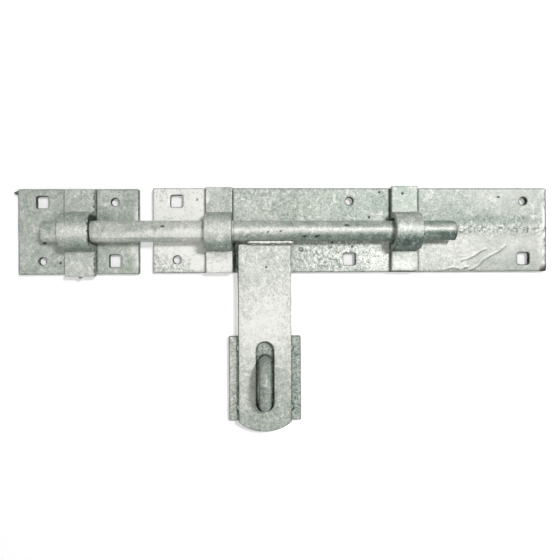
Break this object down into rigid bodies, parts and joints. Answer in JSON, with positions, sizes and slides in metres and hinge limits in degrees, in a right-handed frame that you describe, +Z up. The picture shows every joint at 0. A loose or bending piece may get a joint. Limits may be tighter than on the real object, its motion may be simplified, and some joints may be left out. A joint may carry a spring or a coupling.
{
  "type": "cross pattern door bolt",
  "caption": "Heavy galvanised door bolt: a round bar slides and turns in bent straps, its slotted flat arm folds over a staple for a padlock.",
  "frame": {"origin": "middle of the main plate's back face, on the door", "axes": "+X along the bolt towards the tail end of the main plate, +Y into the door, +Z up the door"},
  "size_m": [0.5043, 0.042, 0.2297],
  "materials": {
    "galvanised_steel": "hot-dip galvanised, matt pale grey-green with spangle, runs and small pits"
  },
  "bodies": {
    "fixed_plates": {"main_plate": "galvanised_steel", "left_guide_strap": "galvanised_steel", "right_guide_strap": "galvanised_steel", "keep_plate": "galvanised_steel", "keep_strap": "galvanised_steel"},
    "staple_set": {"staple_plate": "galvanised_steel", "staple_loop": "galvanised_steel"},
    "bolt": {"bolt_rod": "galvanised_steel", "hasp_arm": "galvanised_steel", "hasp_weld": "galvanised_steel"}
  },
  "joints": [
    {"name": "bolt_slide", "type": "slide", "parent": "fixed_plates", "child": "staple_set", "axis": [1, 0, 0], "range_m": [-0.004, 0.091]},
    {"name": "arm_turn", "type": "hinge", "parent": "staple_set", "child": "bolt", "pos_m": [-0.083, -0.0164, -0.0018], "axis": [-1, 0, 0], "range_deg": [0, 185]}
  ]
}
